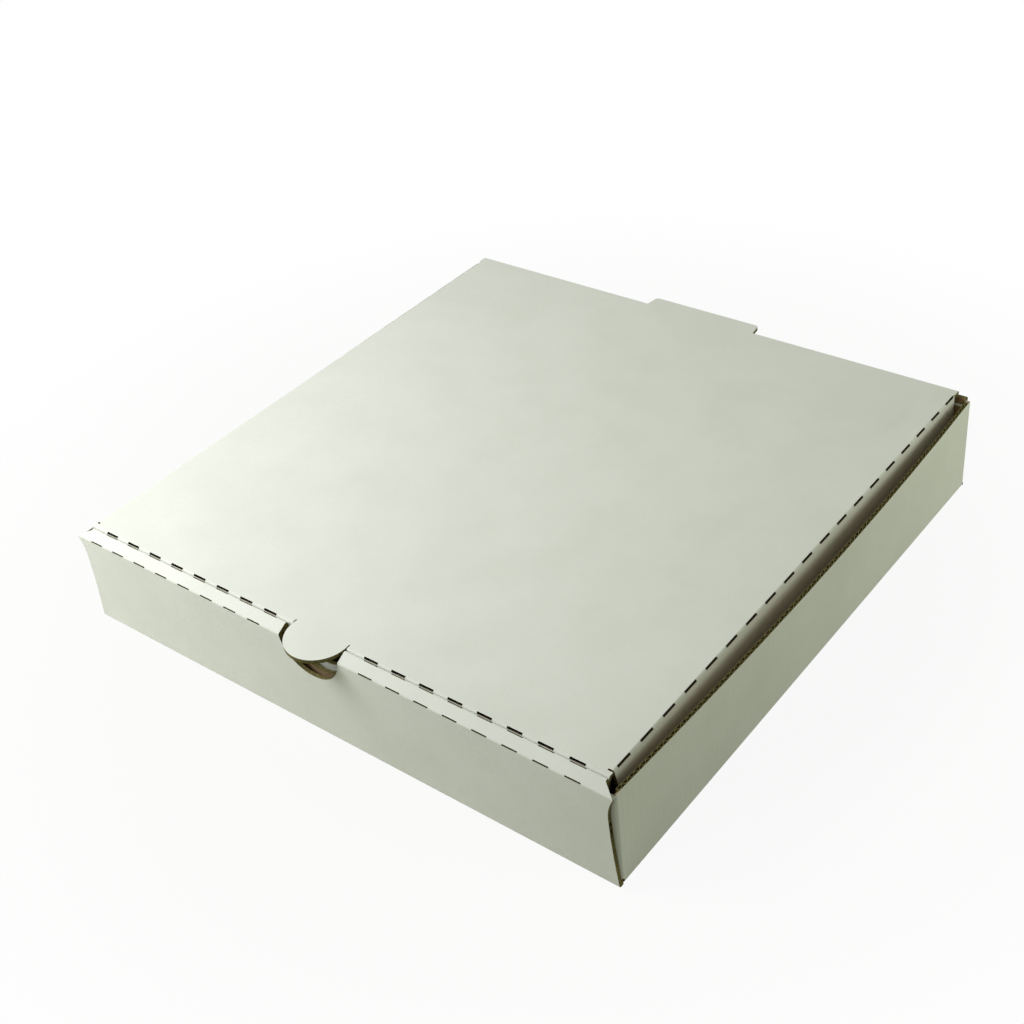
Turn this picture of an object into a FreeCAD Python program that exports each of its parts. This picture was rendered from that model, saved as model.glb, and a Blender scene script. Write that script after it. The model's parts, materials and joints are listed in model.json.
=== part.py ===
import FreeCAD, Part
import math
import os

# A closed pizza box, folded from one sheet of die-cut corrugated board: a tray with a rolled-over
# double front wall, and a lid that is one with the back wall along a fold.
# Millimetres. The origin is under the middle of the box, X runs to the right along the front,
# Y to the back and Z up. The lid's thumb tab points to -Y.

# The box over its outer faces
box_width = 260.0
box_depth = 258.5
box_height = 44.5

# The board and its folds
board = 1.6
fold_inside = 0.2
fold_outside = 1.0
fold_lead = 1.2
ply_gap = 0.3

# Front wall, whose roll-over strip slopes down to the front
strip_slope = 28.0
strip_end_inset = 5.0
panel_waist_inset = 2.3
panel_waist_height = 30.0
notch_half_width = 14.6
notch_depth = 15.5
notch_sideways = -2.0
lock_tab_length = 30.0
lock_tab_offset = 62.0
lock_slot_play = 0.3
lock_tab_recess = 0.3

# Side walls, corner flaps and back wall
right_wall_bow = 3.0
left_wall_bow = 0.3
corner_flap_length = 55.0
corner_flap_drop = 3.0
corner_flap_round = 8.0
back_wall_end_inset = 2.2

# Lid
lid_front_width = 252.4
lid_rear_width = 250.0
lid_sideways = -1.2
front_flap_height = 30.0
front_flap_lean = 4.0
front_flap_end_taper = 8.0
front_flap_round = 12.0
side_flap_height = 32.0
side_flap_lean = 0.5
side_flap_front_gap = 3.0
side_flap_rear_gap = 0.6
side_flap_front_taper = 6.0
side_flap_round = 10.0
thumb_tab_radius = 13.0
thumb_cut_play = 0.4
rear_tab_width = 56.0
rear_tab_reach = 6.8
rear_tab_slant = 1.0
rear_notch_play = 0.6

# Slits through the front and side folds
slit_open = 0.9
outer_slit_open = 0.55
front_slit_count = 8
front_slit_length = 6.4
front_slit_pitch = 12.7
outer_row_start = 24.5
inner_row_start = 21.7
side_slit_count = 19
side_slit_length = 7.0
side_slit_pitch = 13.1
side_slit_start = 5.2

# Places that follow from these sizes
half_width = box_width / 2
half_depth = box_depth / 2
middle = board / 2
flat_start = fold_outside + fold_lead
ply_pitch = board + ply_gap
wall_top = box_height - ply_pitch
lid_height = box_height - middle
outer_ply_y = -half_depth + middle
corner_ply_y = outer_ply_y + ply_pitch
inner_ply_y = corner_ply_y + ply_pitch
inner_face_y = inner_ply_y + middle
fold_middle = fold_outside - middle
strip_lean = math.radians(strip_slope)
inner_fold_z = box_height - fold_outside
strip_rear_z = inner_fold_z + fold_middle * math.tan(math.pi / 4 + strip_lean / 2)
strip_front_z = strip_rear_z - 2 * ply_pitch * math.tan(strip_lean)
outer_fold_z = strip_front_z - fold_middle * math.tan(math.pi / 4 - strip_lean / 2)
strip_end_half = half_width - strip_end_inset
lid_front_y = inner_face_y + ply_gap
hinge_y = half_depth - middle
corner_start = half_depth - board - ply_gap - flat_start
side_fold_x = half_width - middle
lid_front_half = lid_front_width / 2
lid_rear_half = lid_rear_width / 2


def point_at_x(x):
    """Places a (y, z) outline in the plane at this x."""
    return lambda y, z: FreeCAD.Vector(x, y, z)


def point_at_y(y):
    """Places an (x, z) outline in the plane at this y."""
    return lambda x, z: FreeCAD.Vector(x, y, z)


def point_at_z(z):
    """Places an (x, y) outline in the plane at this z."""
    return lambda x, y: FreeCAD.Vector(x, y, z)


def direction(start, end):
    length = math.hypot(end[0] - start[0], end[1] - start[1])
    return (end[0] - start[0]) / length, (end[1] - start[1]) / length


def corner_arc(before, corner, after, radius):
    """Start, middle and end of the arc that rounds a corner."""
    way_in = direction(before, corner)
    way_out = direction(corner, after)
    sine = way_in[0] * way_out[1] - way_in[1] * way_out[0]
    cosine = way_in[0] * way_out[0] + way_in[1] * way_out[1]
    turn = math.atan2(sine, cosine)
    side = math.copysign(1.0, turn)
    reach = radius * math.tan(abs(turn) / 2)
    start = (corner[0] - way_in[0] * reach, corner[1] - way_in[1] * reach)
    centre = (start[0] - way_in[1] * side * radius, start[1] + way_in[0] * side * radius)
    angle = math.atan2(start[1] - centre[1], start[0] - centre[0])
    points = []
    for share in (0.0, 0.5, 1.0):
        point_angle = angle + share * turn
        points.append((centre[0] + radius * math.cos(point_angle), centre[1] + radius * math.sin(point_angle)))
    return points


def pull(stations, place, run):
    """Solid from a closed outline. A station is (None, end) for a line or (middle, end) for an arc."""
    edges = []
    here = place(*stations[-1][1])
    for bulge, end in stations:
        there = place(*end)
        if bulge is None:
            curve = Part.LineSegment(here, there)
        else:
            curve = Part.Arc(here, place(*bulge), there)
        edges.append(curve.toShape())
        here = there
    return Part.Face(Part.Wire(edges)).extrude(run)


def rounded_plate(corners, place, run):
    """Plate from corners given as (u, v, radius), where a radius of 0 leaves the corner sharp."""
    stations = []
    count = len(corners)
    for index, (u, v, radius) in enumerate(corners):
        before = corners[index - 1][:2]
        after = corners[(index + 1) % count][:2]
        if radius == 0:
            stations.append((None, (u, v)))
        else:
            start, bulge, end = corner_arc(before, (u, v), after, radius)
            stations.append((None, start))
            stations.append((bulge, end))
    return pull(stations, place, run)


def left_face(path):
    """Corners of the board's face on the left of its middle line."""
    ways = [direction(start, end) for start, end in zip(path, path[1:])]
    corners = []
    for way_in, (x, y), way_out in zip(ways[:1] + ways, path, ways + ways[-1:]):
        reach = middle / (1 + way_in[0] * way_out[0] + way_in[1] * way_out[1])
        corners.append((x - (way_in[1] + way_out[1]) * reach, y + (way_in[0] + way_out[0]) * reach))
    return corners


def folded_board(path, place, run):
    """Board whose middle line follows the path, creased at each corner: tight inside, rounder outside."""
    stations = []
    for points in (path, path[::-1]):
        face = left_face(points)
        stations.append((None, face[0]))
        for before, corner, after in zip(face, face[1:], face[2:]):
            way_in = direction(before, corner)
            way_out = direction(corner, after)
            left_turn = way_in[0] * way_out[1] > way_in[1] * way_out[0]
            start, bulge, end = corner_arc(before, corner, after, fold_inside if left_turn else fold_outside)
            stations.append((None, start))
            stations.append((bulge, end))
        stations.append((None, face[-1]))
    return pull(stations, place, run)


def both_sides(shape):
    """The shape and its mirror image across the middle of the box."""
    return [shape, shape.mirror(FreeCAD.Vector(0, 0, 0), FreeCAD.Vector(1, 0, 0))]


def slits_along_x(fold_y, fold_z, turn, row_start, width):
    """Cuts through a fold that runs along X, in two rows that start either side of the middle."""
    cuts = []
    for index in range(front_slit_count):
        start = row_start + index * front_slit_pitch
        corner = FreeCAD.Vector(start, -width / 2, -board)
        cut = Part.makeBox(front_slit_length, width, 3 * board, corner)
        cut.rotate(FreeCAD.Vector(0, 0, 0), FreeCAD.Vector(1, 0, 0), turn)
        cut.translate(FreeCAD.Vector(0, fold_y, fold_z))
        cuts += both_sides(cut)
    return cuts


def make_front_wall():
    """Outer panel, roll-over strip and inner panel, joined to the bottom by a fold."""
    inner_end = board + ply_gap
    path = [
        (inner_ply_y, inner_end),
        (inner_ply_y, strip_rear_z),
        (outer_ply_y, strip_front_z),
        (outer_ply_y, middle),
        (-half_depth + flat_start, middle),
    ]
    wall = folded_board(path, point_at_x(-half_width), FreeCAD.Vector(box_width, 0, 0))

    waist_x = half_width - panel_waist_inset
    past = half_width + board
    lower_bulge = (half_width - 0.67 * panel_waist_inset, 0.52 * panel_waist_height)
    flare_rise = outer_fold_z - panel_waist_height
    upper_bulge = (half_width - 0.78 * panel_waist_inset, panel_waist_height + 0.6 * flare_rise)
    flare = [
        (None, (past, outer_fold_z)),
        (None, (past, middle)),
        (None, (half_width, fold_outside)),
        (lower_bulge, (waist_x, panel_waist_height)),
        (upper_bulge, (half_width, outer_fold_z)),
    ]
    cuts = both_sides(pull(flare, point_at_y(-half_depth - board), FreeCAD.Vector(0, 2 * board + ply_gap / 2, 0)))

    strip_end = [
        (half_width, -half_depth, 0),
        (strip_end_half, inner_ply_y - middle, 0),
        (strip_end_half, inner_face_y + board, 0),
        (past, inner_face_y + board, 0),
        (past, -half_depth, 0),
    ]
    up = FreeCAD.Vector(0, 0, box_height + board - outer_fold_z)
    cuts += both_sides(rounded_plate(strip_end, point_at_z(outer_fold_z), up))
    inner_end_cut = Part.makeBox(
        past - strip_end_half,
        3 * board,
        inner_fold_z - board,
        FreeCAD.Vector(strip_end_half, inner_ply_y - middle - ply_gap / 2, board),
    )
    cuts += both_sides(inner_end_cut)

    notch_bottom = box_height - notch_depth
    notch = [
        (-notch_half_width, box_height + board, 0),
        (-notch_half_width, notch_bottom, 0.98 * notch_half_width),
        (notch_half_width, notch_bottom, 0.98 * notch_half_width),
        (notch_half_width, box_height + board, 0),
    ]
    through = FreeCAD.Vector(0, inner_face_y + half_depth + 2 * board, 0)
    outer_cuts = [rounded_plate(notch, point_at_y(-half_depth - board), through)]
    outer_fold_y = -half_depth + fold_outside
    outer_turn = 45 + strip_slope / 2
    outer_cuts += slits_along_x(outer_fold_y, outer_fold_z, outer_turn, outer_row_start, outer_slit_open)
    for cut in outer_cuts:
        cut.translate(FreeCAD.Vector(notch_sideways, 0, 0))
    cuts += outer_cuts
    inner_turn = strip_slope / 2 - 45
    cuts += slits_along_x(inner_face_y - fold_outside, inner_fold_z, inner_turn, inner_row_start, slit_open)
    wall = wall.cut(cuts)

    lock_tab = [
        (lock_tab_offset - lock_tab_length / 2, inner_end, 0),
        (lock_tab_offset - lock_tab_length / 2 + board, lock_tab_recess, 0),
        (lock_tab_offset + lock_tab_length / 2 - board, lock_tab_recess, 0),
        (lock_tab_offset + lock_tab_length / 2, inner_end, 0),
    ]
    lock_tabs = both_sides(rounded_plate(lock_tab, point_at_y(inner_ply_y - middle), FreeCAD.Vector(0, board, 0)))
    return wall.fuse(lock_tabs)


def make_bottom():
    """Bottom panel between the folds, with a slot for each lock tab."""
    panel_half_x = half_width - flat_start
    panel_half_y = half_depth - flat_start
    corner = FreeCAD.Vector(-panel_half_x, -panel_half_y, 0)
    panel = Part.makeBox(2 * panel_half_x, 2 * panel_half_y, board, corner)
    slot_length = lock_tab_length + 2 * lock_slot_play
    slot_corner = FreeCAD.Vector(lock_tab_offset - slot_length / 2, inner_ply_y - middle - lock_slot_play, -board)
    slot = Part.makeBox(slot_length, board + 2 * lock_slot_play, 3 * board, slot_corner)
    return panel.cut(both_sides(slot))


def make_back_wall():
    """Back wall between the side walls' bends, with the notch that the lid's rear tab was cut from."""
    path = [(half_depth - flat_start, middle), (hinge_y, middle), (hinge_y, wall_top)]
    wall = folded_board(path, point_at_x(-half_width), FreeCAD.Vector(box_width, 0, 0))
    notch_half = rear_tab_width / 2 + rear_notch_play
    notch_bottom = lid_height - rear_tab_reach - rear_notch_play
    notch = [
        (-notch_half, box_height, 0),
        (-notch_half + rear_tab_slant, notch_bottom, board),
        (notch_half - rear_tab_slant, notch_bottom, board),
        (notch_half, box_height, 0),
    ]
    notch_cut = rounded_plate(notch, point_at_y(hinge_y - board), FreeCAD.Vector(0, 2 * board, 0))
    notch_cut.translate(FreeCAD.Vector(lid_sideways, 0, 0))
    end_corner = FreeCAD.Vector(half_width - back_wall_end_inset, half_depth - board - ply_gap / 2, fold_outside)
    end_cut = Part.makeBox(back_wall_end_inset + board, 2 * board, box_height, end_corner)
    return wall.cut([notch_cut] + both_sides(end_cut))


def make_right_side(wall_bow):
    """Right side wall, bowed outward along its raw top edge, with its two corner flaps."""
    fold_path = [(side_fold_x, flat_start), (side_fold_x, middle), (half_width - flat_start, middle)]
    fold_half = corner_start + fold_lead
    fold = folded_board(fold_path, point_at_y(-fold_half), FreeCAD.Vector(0, 2 * fold_half, 0))

    wires = []
    for height, bow in ((flat_start, 0.0), (wall_top, wall_bow)):
        place = point_at_z(height)
        corners = []
        for face_x in (half_width, half_width - board):
            corners.append((place(face_x, -corner_start), place(face_x + bow, 0), place(face_x, corner_start)))
        edges = []
        for front, centre, rear in corners:
            if bow == 0:
                edges.append(Part.LineSegment(front, rear).toShape())
            else:
                edges.append(Part.Arc(front, centre, rear).toShape())
        edges.insert(1, Part.LineSegment(corners[0][2], corners[1][2]).toShape())
        edges.append(Part.LineSegment(corners[1][0], corners[0][0]).toShape())
        wires.append(Part.Wire(Part.__sortEdges__(edges)))
    wall = Part.makeLoft(wires, True, True)

    pieces = [fold, wall]
    flap_end = half_width - corner_flap_length
    flap_height = wall_top - flat_start
    for side in (-1, 1):
        flap_y = side * abs(corner_ply_y)
        flap_path = [(side_fold_x, side * corner_start), (side_fold_x, flap_y), (flap_end, flap_y)]
        flap = folded_board(flap_path, point_at_z(flat_start), FreeCAD.Vector(0, 0, flap_height))
        keep = [
            (half_width + board, flat_start, 0),
            (half_width + board, wall_top, 0),
            (half_width, wall_top, 0),
            (half_width - corner_flap_drop, wall_top - corner_flap_drop, 0),
            (flap_end, wall_top - corner_flap_drop, corner_flap_round),
            (flap_end, flat_start, corner_flap_round),
        ]
        flap_outline = rounded_plate(keep, point_at_y(-half_depth), FreeCAD.Vector(0, box_depth, 0))
        pieces.append(flap.common(flap_outline))
    return pieces[0].fuse(pieces[1:])


def make_tray():
    left_side = both_sides(make_right_side(left_wall_bow))[1]
    pieces = [make_front_wall(), make_back_wall(), make_right_side(right_wall_bow), left_side]
    return make_bottom().fuse(pieces).removeSplitter()


def make_lid_front_flap():
    """Front fold and tuck flap of the lid, with the round gap that the thumb tab was cut from."""
    lean = math.tan(math.radians(front_flap_lean))
    fold_y = lid_front_y + middle
    flap_end_z = box_height - front_flap_height
    path = [
        (fold_y + lean * (lid_height - flap_end_z), flap_end_z),
        (fold_y, lid_height),
        (lid_front_y + flat_start, lid_height),
    ]
    flap = folded_board(path, point_at_x(-lid_front_half), FreeCAD.Vector(lid_front_width, 0, 0))
    end_half = lid_front_half - front_flap_end_taper
    keep = [
        (-lid_front_half, inner_fold_z, 0),
        (-end_half, flap_end_z, front_flap_round),
        (end_half, flap_end_z, front_flap_round),
        (lid_front_half, inner_fold_z, 0),
        (lid_front_half, box_height + board, 0),
        (-lid_front_half, box_height + board, 0),
    ]
    through = FreeCAD.Vector(0, 3 * flat_start + lean * front_flap_height, 0)
    flap = flap.common(rounded_plate(keep, point_at_y(lid_front_y - board), through))
    thumb_cut = Part.makeCylinder(
        thumb_tab_radius + thumb_cut_play,
        through.y,
        FreeCAD.Vector(0, lid_front_y - board, box_height),
        FreeCAD.Vector(0, 1, 0),
    )
    cuts = slits_along_x(lid_front_y + fold_outside, inner_fold_z, 45, inner_row_start, slit_open)
    cuts.append(thumb_cut)
    return flap.cut(cuts)


def make_lid_side_flap():
    """Right side fold and flap of the lid, turned to follow the lid's slightly tapered edge."""
    front_y = lid_front_y + side_flap_front_gap
    rear_y = -corner_ply_y - middle - side_flap_rear_gap
    length = rear_y - front_y
    flap_end_z = box_height - side_flap_height
    fold_x = lid_front_half - middle
    path = [
        (lid_front_half - flat_start - fold_lead, lid_height),
        (fold_x, lid_height),
        (fold_x + side_flap_lean, flap_end_z),
    ]
    flap = folded_board(path, point_at_y(front_y), FreeCAD.Vector(0, length, 0))
    keep = [
        (front_y, box_height + board, 0),
        (front_y, inner_fold_z, 0),
        (front_y + side_flap_front_taper, flap_end_z, side_flap_round),
        (rear_y, flap_end_z, side_flap_round),
        (rear_y, box_height + board, 0),
    ]
    from_x = lid_front_half - 2 * flat_start
    through = FreeCAD.Vector(3 * flat_start + side_flap_lean, 0, 0)
    flap = flap.common(rounded_plate(keep, point_at_x(from_x), through))
    cuts = []
    for index in range(side_slit_count):
        start = lid_front_y + side_slit_start + index * side_slit_pitch
        corner = FreeCAD.Vector(-slit_open / 2, start, -board)
        cut = Part.makeBox(slit_open, side_slit_length, 3 * board, corner)
        cut.rotate(FreeCAD.Vector(0, 0, 0), FreeCAD.Vector(0, 1, 0), 45)
        cut.translate(FreeCAD.Vector(lid_front_half - fold_outside, 0, inner_fold_z))
        cuts.append(cut)
    flap = flap.cut(cuts)
    taper = math.degrees(math.atan2(lid_front_half - lid_rear_half, hinge_y - lid_front_y))
    flap.rotate(FreeCAD.Vector(lid_front_half, lid_front_y, 0), FreeCAD.Vector(0, 0, 1), taper)
    return flap


def make_lid():
    """Lid panel with its tabs, its flaps, and the half-round edge that turns at the back fold."""
    front_y = lid_front_y + flat_start
    flap_end_y = -corner_ply_y - middle - side_flap_rear_gap
    under = box_height - board
    up = FreeCAD.Vector(0, 0, board)

    def edge_half(y):
        share = (y - lid_front_y) / (hinge_y - lid_front_y)
        return lid_front_half + share * (lid_rear_half - lid_front_half)

    right_edge = [
        (edge_half(front_y) - flat_start, front_y, 0),
        (edge_half(flap_end_y) - flat_start, flap_end_y, 0),
        (edge_half(flap_end_y), flap_end_y, 0),
        (lid_rear_half, hinge_y, 0),
    ]
    left_edge = [(-x, y, radius) for x, y, radius in reversed(right_edge)]
    panel = rounded_plate(right_edge + left_edge, point_at_z(under), up)
    hinge_edge = Part.makeCylinder(
        middle,
        lid_rear_width,
        FreeCAD.Vector(-lid_rear_half, hinge_y, lid_height),
        FreeCAD.Vector(1, 0, 0),
    )
    thumb_tab = Part.makeCylinder(thumb_tab_radius, board, FreeCAD.Vector(0, lid_front_y, under))
    tab_half = rear_tab_width / 2
    rear_tab_outline = [
        (-tab_half, hinge_y, 0),
        (tab_half, hinge_y, 0),
        (tab_half - rear_tab_slant, hinge_y + rear_tab_reach, board),
        (-tab_half + rear_tab_slant, hinge_y + rear_tab_reach, board),
    ]
    rear_tab = rounded_plate(rear_tab_outline, point_at_z(under), up)
    pieces = [hinge_edge, thumb_tab, rear_tab, make_lid_front_flap()] + both_sides(make_lid_side_flap())
    lid = panel.fuse(pieces).removeSplitter()
    lid.translate(FreeCAD.Vector(lid_sideways, 0, 0))
    return lid


os.makedirs("parts", exist_ok=True)
for node, solid in (("tray", make_tray()), ("lid", make_lid())):
    solid.exportStep("parts/" + node + ".step")
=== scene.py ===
import json
import math
import bmesh
import bpy
from mathutils import Matrix, Vector
from mathutils.bvhtree import BVHTree


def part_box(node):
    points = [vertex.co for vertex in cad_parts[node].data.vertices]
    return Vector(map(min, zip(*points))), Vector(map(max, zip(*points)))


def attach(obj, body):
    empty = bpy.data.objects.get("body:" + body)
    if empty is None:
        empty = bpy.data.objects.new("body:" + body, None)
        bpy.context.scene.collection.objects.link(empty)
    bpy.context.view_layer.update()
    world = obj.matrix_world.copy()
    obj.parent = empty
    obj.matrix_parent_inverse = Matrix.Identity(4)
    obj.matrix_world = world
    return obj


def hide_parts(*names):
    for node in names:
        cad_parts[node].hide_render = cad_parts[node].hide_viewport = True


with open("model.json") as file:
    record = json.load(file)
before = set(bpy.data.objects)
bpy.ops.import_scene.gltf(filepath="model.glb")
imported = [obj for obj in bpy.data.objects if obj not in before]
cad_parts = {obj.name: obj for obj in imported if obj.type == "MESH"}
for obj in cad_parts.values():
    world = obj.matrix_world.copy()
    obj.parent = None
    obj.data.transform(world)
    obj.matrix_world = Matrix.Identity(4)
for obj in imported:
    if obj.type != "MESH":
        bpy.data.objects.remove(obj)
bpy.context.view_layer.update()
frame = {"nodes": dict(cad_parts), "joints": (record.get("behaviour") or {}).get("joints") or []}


# The white outer liner: bleached paper glued over the flutes, matt, with short fibres, soft clouds
# in the pulp and a few scuffs. The flutes below it show as a faint washboard, in lines along X.

flute_pitch = 0.0032
white_paper = (0.760, 0.781, 0.735)
white_cloud = (0.727, 0.748, 0.700)
white_fibre = (0.560, 0.560, 0.460)
white_fibre_share = 0.28
white_rib_height = 0.000010
pulp_height = 0.00006
sag_height = 0.0005
cloud_scale = 38.0
fibre_along_scale = 420.0
fibre_across_scale = 390.0
scuff_scale = 16.0
scuff_share = 0.35
rib_fade_scale = 55.0
pulp_scale = 900.0
sag_scale = 14.0
paper_roughness = (0.80, 0.90)


def new_material(name):
    material = bpy.data.materials.new(name)
    material.use_nodes = True
    nodes = material.node_tree.nodes
    nodes.clear()
    output = nodes.new("ShaderNodeOutputMaterial")
    shader = nodes.new("ShaderNodeBsdfPrincipled")
    material.node_tree.links.new(shader.outputs["BSDF"], output.inputs["Surface"])
    return material, nodes, material.node_tree.links, shader


def noise(nodes, links, vector, scale, detail=3.0, roughness=0.55):
    node = nodes.new("ShaderNodeTexNoise")
    node.inputs["Scale"].default_value = scale
    node.inputs["Detail"].default_value = detail
    node.inputs["Roughness"].default_value = roughness
    links.new(vector, node.inputs["Vector"])
    return node.outputs["Fac"]


def spread(nodes, links, value, low, high, to_low=0.0, to_high=1.0):
    node = nodes.new("ShaderNodeMapRange")
    node.inputs["From Min"].default_value = low
    node.inputs["From Max"].default_value = high
    node.inputs["To Min"].default_value = to_low
    node.inputs["To Max"].default_value = to_high
    links.new(value, node.inputs["Value"])
    return node.outputs["Result"]


def arithmetic(nodes, links, operation, first, second=0.0):
    node = nodes.new("ShaderNodeMath")
    node.operation = operation
    for socket, value in zip(node.inputs, (first, second)):
        if isinstance(value, (int, float)):
            socket.default_value = value
        else:
            links.new(value, socket)
    return node.outputs["Value"]


def blend_colours(nodes, links, share, first, second):
    """The Mix node's colour sockets are the seventh and eighth inputs and the third output."""
    node = nodes.new("ShaderNodeMix")
    node.data_type = "RGBA"
    links.new(share, node.inputs["Factor"])
    for socket, value in ((node.inputs[6], first), (node.inputs[7], second)):
        if isinstance(value, tuple):
            socket.default_value = (*value, 1.0)
        else:
            links.new(value, socket)
    return node.outputs[2]


def stretched(nodes, links, vector, scale):
    node = nodes.new("ShaderNodeMapping")
    node.inputs["Scale"].default_value = scale
    links.new(vector, node.inputs["Vector"])
    return node.outputs["Vector"]


def raise_relief(nodes, links, shader, height):
    node = nodes.new("ShaderNodeBump")
    node.inputs["Strength"].default_value = 1.0
    node.inputs["Distance"].default_value = 1.0
    links.new(height, node.inputs["Height"])
    links.new(node.outputs["Normal"], shader.inputs["Normal"])


def paper_liner(name, colour, cloud_colour, fibre_colour, fibre_share, rib_height):
    """Flat paper: clouds, fibres and scuffs for colour; ribs, pulp and a slight sag for relief."""
    material, nodes, links, shader = new_material(name)
    place = nodes.new("ShaderNodeTexCoord").outputs["Object"]
    blank = nodes.new("ShaderNodeUVMap")
    blank.uv_map = "blank"

    clouds = spread(nodes, links, noise(nodes, links, place, cloud_scale, 4.0), 0.36, 0.68)
    tint = blend_colours(nodes, links, clouds, colour, cloud_colour)
    lengthwise = stretched(nodes, links, place, (1.0, 5.0, 3.0))
    along = noise(nodes, links, lengthwise, fibre_along_scale, 2.0)
    crosswise = stretched(nodes, links, place, (5.0, 1.0, 3.0))
    across = noise(nodes, links, crosswise, fibre_across_scale, 2.0)
    fibres = arithmetic(nodes, links, "MAXIMUM", along, across)
    fibre_mask = spread(nodes, links, fibres, 0.64, 0.78, 0.0, fibre_share)
    tint = blend_colours(nodes, links, fibre_mask, tint, fibre_colour)
    streaks = stretched(nodes, links, place, (1.0, 0.25, 1.0))
    rubbed = noise(nodes, links, streaks, scuff_scale, 6.0, 0.7)
    scuffs = spread(nodes, links, rubbed, 0.66, 0.80, 0.0, scuff_share)
    tint = blend_colours(nodes, links, scuffs, tint, fibre_colour)
    links.new(tint, shader.inputs["Base Color"])

    rough = spread(nodes, links, clouds, 0.0, 1.0, *paper_roughness)
    links.new(rough, shader.inputs["Roughness"])
    shader.inputs["Specular IOR Level"].default_value = 0.22
    shader.inputs["Sheen Weight"].default_value = 0.05
    shader.inputs["Sheen Roughness"].default_value = 0.5

    parts = nodes.new("ShaderNodeSeparateXYZ")
    links.new(blank.outputs["UV"], parts.inputs["Vector"])
    turns = arithmetic(nodes, links, "MULTIPLY", parts.outputs["Y"], 2 * math.pi / flute_pitch)
    ribs = arithmetic(nodes, links, "SINE", turns)
    fade = noise(nodes, links, place, rib_fade_scale, 2.0)
    uneven = spread(nodes, links, fade, 0.3, 0.7, 0.3, 1.0)
    ribs = arithmetic(nodes, links, "MULTIPLY", ribs, uneven)
    ribs = arithmetic(nodes, links, "MULTIPLY", ribs, rib_height)
    pulp = noise(nodes, links, place, pulp_scale, 3.0)
    pulp = arithmetic(nodes, links, "MULTIPLY", pulp, pulp_height)
    sag = noise(nodes, links, place, sag_scale, 2.0)
    sag = arithmetic(nodes, links, "MULTIPLY", sag, sag_height)
    relief = arithmetic(nodes, links, "ADD", arithmetic(nodes, links, "ADD", ribs, pulp), sag)
    raise_relief(nodes, links, shader, relief)
    return material


white_liner = paper_liner(
    "white_liner", white_paper, white_cloud, white_fibre, white_fibre_share, white_rib_height
)


# The brown inner liner: unbleached kraft paper, with darker and more fibres than the white one and
# a clearer washboard. It shows inside the box, under the tabs and in the gaps at the sides.

brown_paper = (0.340, 0.238, 0.130)
brown_cloud = (0.318, 0.221, 0.119)
brown_fibre = (0.150, 0.092, 0.042)
brown_fibre_share = 0.55
brown_rib_height = 0.000022
brown_liner = paper_liner(
    "brown_liner", brown_paper, brown_cloud, brown_fibre, brown_fibre_share, brown_rib_height
)


# The raw edges: the die leaves torn olive-brown fibres on the ends of the two liners and of the
# fluted paper between them. The hollows behind them get a near-black painted shade.

grain_scale = 1500.0
fuzz_scale = 2200.0
fuzz_height = 0.00012


def torn_paper(name, colour, dark):
    material, nodes, links, shader = new_material(name)
    place = nodes.new("ShaderNodeTexCoord").outputs["Object"]
    grain = spread(nodes, links, noise(nodes, links, place, grain_scale, 3.0), 0.3, 0.7)
    links.new(blend_colours(nodes, links, grain, dark, colour), shader.inputs["Base Color"])
    shader.inputs["Roughness"].default_value = 0.9
    shader.inputs["Specular IOR Level"].default_value = 0.2
    fuzz = noise(nodes, links, place, fuzz_scale, 2.0)
    fuzz = arithmetic(nodes, links, "MULTIPLY", fuzz, fuzz_height)
    raise_relief(nodes, links, shader, fuzz)
    return material


cut_edge = torn_paper("cut_edge", (0.205, 0.180, 0.062), (0.075, 0.064, 0.021))
fluted_paper = torn_paper("fluted_paper", (0.230, 0.204, 0.076), (0.122, 0.104, 0.037))
# Painted shade: a near-black paper for the channels' bottoms and walls, which stands in for their
# shadow.
hollow_painted_shade = torn_paper("hollow_painted_shade", (0.070, 0.060, 0.021), (0.035, 0.029, 0.010))


# The tray: bottom, back wall, two side walls with corner flaps, and the front wall that rolls over
# them, in one sheet of single-wall board, die-cut and folded. A face with the board's thickness
# behind it is a liner, with the bends that it runs into. The rest is cut edge.

board = 0.0016
liner = 0.00024
channel_depth = 0.0011
same_place = 1e-6
WHITE, BROWN, EDGE, HOLLOW_SHADE = range(4)
ALONG_Y, ALONG_Z = 1, 2
upwards = Vector((0, 0, 1))
hinge_axis = Vector(frame["joints"][0]["pos_m"])
tray_low, tray_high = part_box("tray")
box_middle = Vector((0.0, 0.0, 0.022))
rolled_wall_end = tray_low.y + 0.0056
rolled_wall_core = Vector((0.0, tray_low.y + 0.0027, 0.030))
flap_behind = tray_low.y + 0.0036


def shows_white(body, place, normal):
    """True where the white liner faces out. The front wall turns it inwards as it rolls over."""
    if body == "lid" and place.y > hinge_axis.y:
        return normal.z > -0.5
    if body == "tray" and place.y < rolled_wall_end:
        if normal.y > 0.9 and place.y < flap_behind:
            return False
        return (place - rolled_wall_core).dot(normal) > 0
    return (place - box_middle).dot(normal) > 0


def liner_runs_on(edge):
    """True within a flat panel, and over a bend whose edge lies along one of the axes."""
    if len(edge.link_faces) != 2:
        return False
    way = (edge.verts[1].co - edge.verts[0].co).normalized()
    along_fold = max(abs(way.x), abs(way.y), abs(way.z)) > 0.995
    steepest = math.radians(50 if along_fold else 5)
    return edge.calc_face_angle(0.0) < steepest


def is_backed(face, tree):
    """True where another face lies behind this one, as far off as the board is thick."""
    skin = 2e-5
    start = face.calc_center_median() - face.normal * skin
    hit, hit_normal, _, distance = tree.ray_cast(start, -face.normal)
    if hit is None:
        return False
    one_board_off = 0.8 * board < distance < 1.15 * board
    return one_board_off and hit_normal.dot(face.normal) < -0.9


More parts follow.
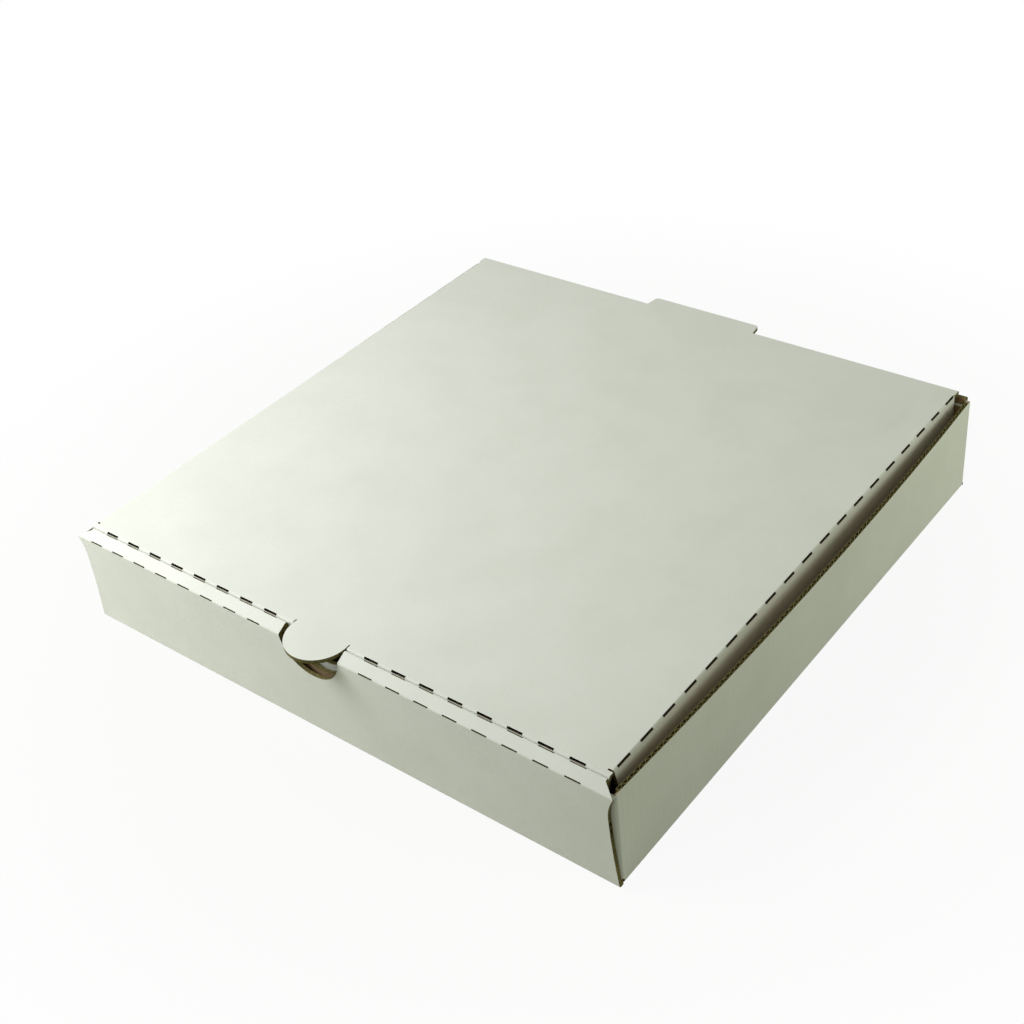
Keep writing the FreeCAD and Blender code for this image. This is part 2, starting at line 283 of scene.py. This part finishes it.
def spread_over_bends(first):
    """The face and all that its liner would run on to, each tagged as taken."""
    first.tag = True
    bend = [first]
    for face in bend:
        for edge in face.edges:
            if liner_runs_on(edge):
                fresh = [other for other in edge.link_faces if not other.tag]
                for other in fresh:
                    other.tag = True
                bend += fresh
    return bend


def board_faces(body):
    """A merged copy of the body's mesh, sorted into white liner, brown liner and cut edge."""
    liner_share = 0.3
    flat_angle = 0.002
    work = bmesh.new()
    work.from_mesh(frame["nodes"][body].data)
    bmesh.ops.remove_doubles(work, verts=work.verts, dist=same_place)
    bmesh.ops.recalc_face_normals(work, faces=work.faces)
    tree = BVHTree.FromBMesh(work)
    flat_areas = {}
    for face in work.faces:
        flat_areas[face.index] = face.calc_area() if is_backed(face, tree) else 0.0
        face.tag = False
    for first in work.faces:
        if first.tag:
            continue
        bend = spread_over_bends(first)
        whole = sum(face.calc_area() for face in bend)
        is_liner = sum(flat_areas[face.index] for face in bend) > liner_share * whole
        for face in bend:
            face.material_index = EDGE
            if is_liner:
                white = shows_white(body, face.calc_center_median(), face.normal)
                face.material_index = WHITE if white else BROWN
    bmesh.ops.dissolve_limit(
        work, angle_limit=flat_angle, verts=work.verts, edges=work.edges, delimit={"MATERIAL"}
    )
    return work


def middle_line(corners, outward, run):
    """The channel's middle, from one end of the run axis to the other."""
    one_step = 0.0008
    ordered = sorted((corner.co.copy() for corner in corners), key=lambda place: place[run])
    line = []
    group = [ordered[0]]
    for place in ordered[1:] + [None]:
        if place is not None and place[run] - group[-1][run] < one_step:
            group.append(place)
        else:
            if len(group) > 1:
                line.append(sum(group, Vector()) / len(group) + outward * (channel_depth / 2))
            group = [place]
    return line


def hollow_edge(work, cut_here, side, outward, run):
    """Sinks the board's middle along one raw edge, and returns the channel's line and its way out."""
    rim = [face for face in work.faces if face.material_index == EDGE and cut_here(face, side)]
    bmesh.ops.inset_region(
        work, faces=rim, thickness=liner, use_boundary=True, use_even_offset=True
    )
    sunk = bmesh.ops.extrude_face_region(work, geom=rim)["geom"]
    corners = [part for part in sunk if isinstance(part, bmesh.types.BMVert)]
    bmesh.ops.translate(work, verts=corners, vec=outward * -channel_depth)
    bottom = [part for part in sunk if isinstance(part, bmesh.types.BMFace)]
    # The channel's bottom and walls take the near-black painted shade.
    for face in bottom:
        face.material_index = HOLLOW_SHADE
        for edge in face.edges:
            for wall in edge.link_faces:
                wall.material_index = HOLLOW_SHADE
    lids = [face for face in rim if face.is_valid and face not in bottom]
    bmesh.ops.delete(work, geom=lids, context="FACES_ONLY")
    return middle_line(corners, outward, run), outward


def finish_board(work, body):
    """Lays the blank's flute lines on the faces as a UV map, and makes the piece."""
    blank = work.loops.layers.uv.new("blank")
    for face in work.faces:
        upright = abs(face.normal.y) > 0.7
        for loop in face.loops:
            place = loop.vert.co
            loop[blank].uv = (place.x, place.z) if upright else (place.x + place.z, place.y)
        face.smooth = True
    sharp = math.radians(35)
    for edge in work.edges:
        edge.smooth = len(edge.link_faces) == 2 and edge.calc_face_angle(0.0) < sharp
    mesh = bpy.data.meshes.new(body + "_board")
    for material in (white_liner, brown_liner, cut_edge, hollow_painted_shade):
        mesh.materials.append(material)
    work.to_mesh(mesh)
    work.free()
    piece = bpy.data.objects.new(body + "_board", mesh)
    bpy.context.scene.collection.objects.link(piece)
    flat = piece.modifiers.new("flat_panels", "WEIGHTED_NORMAL")
    flat.keep_sharp = True
    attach(piece, body)
    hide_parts(body)


# The left wall stays just below the lid, and the fold below the back wall ends flush with it.

left_wall_top = 0.0412
side_wall_inside = 0.1265
side_wall_half = 0.1274
back_fold_inside = 0.1272
back_fold_half = 0.1278

tray_work = board_faces("tray")
for corner in tray_work.verts:
    if corner.co.x < -side_wall_inside and abs(corner.co.y) < side_wall_half:
        corner.co.z = min(corner.co.z, left_wall_top)
    if abs(corner.co.x) > back_fold_half and corner.co.y > back_fold_inside:
        corner.co.x = math.copysign(back_fold_half, corner.co.x)
bmesh.ops.remove_doubles(tray_work, verts=tray_work.verts, dist=same_place)
bmesh.ops.dissolve_degenerate(tray_work, edges=tray_work.edges, dist=same_place)

# The flutes show on the side walls' tops, and on the upright ends of the front wall's outer panel
# and of the back wall.

square_on = 0.98
long_edge_area = 1e-4
back_end_area = 3e-5
front_end_low = 0.0025
front_end_high = 0.0412


def side_wall_top(face, side):
    beside = side * face.calc_center_median().x > side_wall_inside
    return beside and face.normal.z > square_on and face.calc_area() > long_edge_area


def front_panel_end(face, side):
    place = face.calc_center_median()
    in_outer_panel = side * place.x > side_wall_inside and place.y < tray_low.y + board
    if not in_outer_panel or not front_end_low < place.z < front_end_high:
        return False
    return side * face.normal.x > 0.8 and len(face.verts) == 4


def back_wall_end(face, side):
    behind = face.calc_center_median().y > tray_high.y - board
    return behind and side * face.normal.x > square_on and face.calc_area() > back_end_area


tray_lines = []
for side in (1, -1):
    sideways = Vector((side, 0, 0))
    tray_lines.append(hollow_edge(tray_work, side_wall_top, side, upwards, ALONG_Y))
    tray_lines.append(hollow_edge(tray_work, front_panel_end, side, sideways, ALONG_Z))
    tray_lines.append(hollow_edge(tray_work, back_wall_end, side, sideways, ALONG_Z))
finish_board(tray_work, "tray")


# The lid: one panel with a round thumb tab, a rear tab, a tuck flap and two side flaps, of the same
# sheet and board as the tray, folded the same way. The flutes show on its side flaps' lower edges.

side_flap_inside = 0.12


def side_flap_edge(face, side):
    beside = side * face.calc_center_median().x > side_flap_inside
    return beside and face.normal.z < -square_on and face.calc_area() > long_edge_area


lid_work = board_faces("lid")
lid_lines = [hollow_edge(lid_work, side_flap_edge, side, -upwards, ALONG_Y) for side in (1, -1)]
finish_board(lid_work, "lid")


# The fluting: the wavy paper glued between the two liners, seen where the board is cut across it.
# Each ribbon follows its channel's middle line and stops just below the liners' ends.

wave_height = 0.00092
ribbon_depth = 0.00098
medium_thickness = 0.00020
points_per_flute = 12.0


def fluting_tree():
    """Waves a strip of paper along each middle line, set on edge in its channel."""
    tree = bpy.data.node_groups.new("fluting", "GeometryNodeTree")
    tree.is_modifier = True
    tree.interface.new_socket("Middle lines", in_out="INPUT", socket_type="NodeSocketGeometry")
    for name in ("Flute pitch", "Wave height", "Ribbon depth", "Paper thickness"):
        tree.interface.new_socket(name, in_out="INPUT", socket_type="NodeSocketFloat")
    tree.interface.new_socket("Paper", in_out="INPUT", socket_type="NodeSocketMaterial")
    tree.interface.new_socket("Ribbons", in_out="OUTPUT", socket_type="NodeSocketGeometry")
    nodes = tree.nodes
    links = tree.links
    given = nodes.new("NodeGroupInput").outputs
    result = nodes.new("NodeGroupOutput").inputs

    curve = nodes.new("GeometryNodeMeshToCurve")
    links.new(given["Middle lines"], curve.inputs["Mesh"])
    points = nodes.new("GeometryNodeResampleCurve")
    points.mode = "LENGTH"
    links.new(curve.outputs["Curve"], points.inputs["Curve"])
    step = arithmetic(nodes, links, "DIVIDE", given["Flute pitch"], points_per_flute)
    links.new(step, points.inputs["Length"])

    run = nodes.new("GeometryNodeSplineParameter").outputs["Length"]
    turns = arithmetic(nodes, links, "DIVIDE", run, given["Flute pitch"])
    wave = arithmetic(nodes, links, "MULTIPLY", turns, 2 * math.pi)
    wave = arithmetic(nodes, links, "SINE", wave)
    half_height = arithmetic(nodes, links, "MULTIPLY", given["Wave height"], 0.5)
    outward = nodes.new("GeometryNodeInputNamedAttribute")
    outward.data_type = "FLOAT_VECTOR"
    outward.inputs["Name"].default_value = "outward"
    across = nodes.new("ShaderNodeVectorMath")
    across.operation = "CROSS_PRODUCT"
    links.new(nodes.new("GeometryNodeInputTangent").outputs["Tangent"], across.inputs[0])
    links.new(outward.outputs["Attribute"], across.inputs[1])
    swing = nodes.new("ShaderNodeVectorMath")
    swing.operation = "SCALE"
    links.new(across.outputs["Vector"], swing.inputs[0])
    links.new(arithmetic(nodes, links, "MULTIPLY", wave, half_height), swing.inputs["Scale"])
    waved = nodes.new("GeometryNodeSetPosition")
    links.new(points.outputs["Curve"], waved.inputs["Geometry"])
    links.new(swing.outputs["Vector"], waved.inputs["Offset"])

    upright = nodes.new("GeometryNodeSetCurveNormal")
    upright.mode = "FREE"
    links.new(waved.outputs["Geometry"], upright.inputs["Curve"])
    links.new(outward.outputs["Attribute"], upright.inputs["Normal"])
    section = nodes.new("GeometryNodeCurvePrimitiveQuadrilateral")
    links.new(given["Ribbon depth"], section.inputs["Width"])
    links.new(given["Paper thickness"], section.inputs["Height"])
    ribbon = nodes.new("GeometryNodeCurveToMesh")
    ribbon.inputs["Fill Caps"].default_value = True
    links.new(upright.outputs["Curve"], ribbon.inputs["Curve"])
    links.new(section.outputs["Curve"], ribbon.inputs["Profile Curve"])
    real = nodes.new("GeometryNodeRealizeInstances")
    links.new(ribbon.outputs["Mesh"], real.inputs["Geometry"])
    finish = nodes.new("GeometryNodeSetMaterial")
    links.new(real.outputs["Geometry"], finish.inputs["Geometry"])
    links.new(given["Paper"], finish.inputs["Material"])
    links.new(finish.outputs["Geometry"], result["Ribbons"])
    return tree


fluting = fluting_tree()
fluting_sizes = {
    "Flute pitch": flute_pitch,
    "Wave height": wave_height,
    "Ribbon depth": ribbon_depth,
    "Paper thickness": medium_thickness,
    "Paper": fluted_paper,
}

for body, lines in (("tray", tray_lines), ("lid", lid_lines)):
    places = []
    joins = []
    outwards = []
    for line, outward in lines:
        first = len(places)
        places += line
        outwards += [outward] * len(line)
        joins += [(first + step, first + step + 1) for step in range(len(line) - 1)]
    path = bpy.data.meshes.new(body + "_flute_lines")
    path.from_pydata(places, joins, [])
    attribute = path.attributes.new("outward", "FLOAT_VECTOR", "POINT")
    attribute.data.foreach_set("vector", [value for outward in outwards for value in outward])
    piece = bpy.data.objects.new(body + "_fluting", path)
    bpy.context.scene.collection.objects.link(piece)
    modifier = piece.modifiers.new("fluting", "NODES")
    modifier.node_group = fluting
    for item in fluting.interface.items_tree:
        if item.in_out == "INPUT" and item.name in fluting_sizes:
            modifier[item.identifier] = fluting_sizes[item.name]
    depsgraph = bpy.context.evaluated_depsgraph_get()
    mesh = bpy.data.meshes.new_from_object(piece.evaluated_get(depsgraph))
    piece.modifiers.clear()
    piece.data = mesh
    ribbons = bmesh.new()
    ribbons.from_mesh(mesh)
    bmesh.ops.recalc_face_normals(ribbons, faces=ribbons.faces)
    ribbons.to_mesh(mesh)
    ribbons.free()
    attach(piece, body)


# The floor: a pale seamless sheet of studio paper. It keeps a soft shadow near the box and runs out
# to plain white.

floor_level = -0.0002
floor_half = 3.0
floor_grey = (0.43, 0.44, 0.36, 1.0)
plain_white = (1.0, 1.0, 1.0, 1.0)
fade_start = 0.15
fade_end = 0.32
whiteness_at_box = 0.92


def seen_directly(nodes, links):
    """1 for a ray from the camera, or one that metal or glass passes on; 0 for light on the object."""
    rays = nodes.new("ShaderNodeLightPath").outputs
    direct = arithmetic(nodes, links, "MAXIMUM", rays["Is Camera Ray"], rays["Is Glossy Ray"])
    return arithmetic(nodes, links, "MAXIMUM", direct, rays["Is Transmission Ray"])


floor_mesh = bpy.data.meshes.new("floor")
floor_outline = ((-1, -1), (1, -1), (1, 1), (-1, 1))
floor_corners = [(x * floor_half, y * floor_half, floor_level) for x, y in floor_outline]
floor_mesh.from_pydata(floor_corners, [], [(0, 1, 2, 3)])
floor = bpy.data.objects.new("floor", floor_mesh)
bpy.context.scene.collection.objects.link(floor)
floor_material, nodes, links, shader = new_material("studio_paper")
shader.inputs["Base Color"].default_value = floor_grey
shader.inputs["Roughness"].default_value = 0.9
shader.inputs["Specular IOR Level"].default_value = 0.1
distance = nodes.new("ShaderNodeVectorMath")
distance.operation = "LENGTH"
links.new(nodes.new("ShaderNodeTexCoord").outputs["Object"], distance.inputs[0])
away = distance.outputs["Value"]
whiteness = spread(nodes, links, away, fade_start, fade_end, whiteness_at_box, 1.0)
white = nodes.new("ShaderNodeEmission")
white.inputs["Color"].default_value = plain_white
white.inputs["Strength"].default_value = 1.0
floor_mix = nodes.new("ShaderNodeMixShader")
shown_white = arithmetic(nodes, links, "MULTIPLY", whiteness, seen_directly(nodes, links))
links.new(shown_white, floor_mix.inputs["Fac"])
links.new(shader.outputs["BSDF"], floor_mix.inputs[1])
links.new(white.outputs["Emission"], floor_mix.inputs[2])
links.new(floor_mix.outputs["Shader"], nodes["Material Output"].inputs["Surface"])
floor_mesh.materials.append(floor_material)


# The light: a soft lamp at the left front, a weaker one low at the right rear, and an even pale
# room that is plain white where it is seen directly.

lamp_size = 0.30
lit_place = (0.0, 0.0, 0.03)
room_colour = (0.96, 1.0, 0.80, 1.0)
room_strength = 0.27


def lamp(name, place, power, colour):
    data = bpy.data.lights.new(name, "AREA")
    data.shape = "DISK"
    data.size = lamp_size
    data.energy = power
    data.color = colour
    thing = bpy.data.objects.new(name, data)
    bpy.context.scene.collection.objects.link(thing)
    thing.location = place
    way = Vector(lit_place) - Vector(place)
    thing.rotation_euler = way.to_track_quat("-Z", "Y").to_euler()


lamp("key", place=(-0.395, -0.306, 0.400), power=3.7, colour=(1.0, 1.0, 1.0))
lamp("fill", place=(0.500, 0.410, 0.190), power=1.15, colour=(0.97, 1.0, 0.85))

world = bpy.data.worlds.new("studio")
bpy.context.scene.world = world
world.use_nodes = True
nodes = world.node_tree.nodes
links = world.node_tree.links
nodes.clear()
room = nodes.new("ShaderNodeBackground")
room.inputs["Color"].default_value = room_colour
room.inputs["Strength"].default_value = room_strength
backdrop = nodes.new("ShaderNodeBackground")
backdrop.inputs["Color"].default_value = plain_white
backdrop.inputs["Strength"].default_value = 1.0
room_mix = nodes.new("ShaderNodeMixShader")
links.new(seen_directly(nodes, links), room_mix.inputs["Fac"])
links.new(room.outputs["Background"], room_mix.inputs[1])
links.new(backdrop.outputs["Background"], room_mix.inputs[2])
links.new(room_mix.outputs["Shader"], nodes.new("ShaderNodeOutputWorld").inputs["Surface"])


# The camera: where the photograph was taken from, above the right front corner, turned and rolled
# as the box's edges in the photograph show.

sensor_width = 36.0
focal_in_pixels = 1543.0
picture_width = 1024.0
camera_place = (0.3340, -0.3858, 0.4022)
yaw = math.radians(41.98)
pitch = math.radians(-36.80)
roll = math.radians(-6.99)

camera_data = bpy.data.cameras.new("camera")
camera_data.sensor_width = sensor_width
camera_data.lens = sensor_width * focal_in_pixels / picture_width
camera_data.clip_start = 0.01
camera = bpy.data.objects.new("camera", camera_data)
bpy.context.scene.collection.objects.link(camera)
heading = Matrix.Rotation(yaw, 4, "Z")
tilt = Matrix.Rotation(math.pi / 2 + pitch, 4, "X")
camera.matrix_world = (
    Matrix.Translation(camera_place) @ (heading @ tilt @ Matrix.Rotation(roll, 4, "Z"))
)
bpy.context.scene.camera = camera
bpy.context.scene.view_settings.view_transform = "Standard"
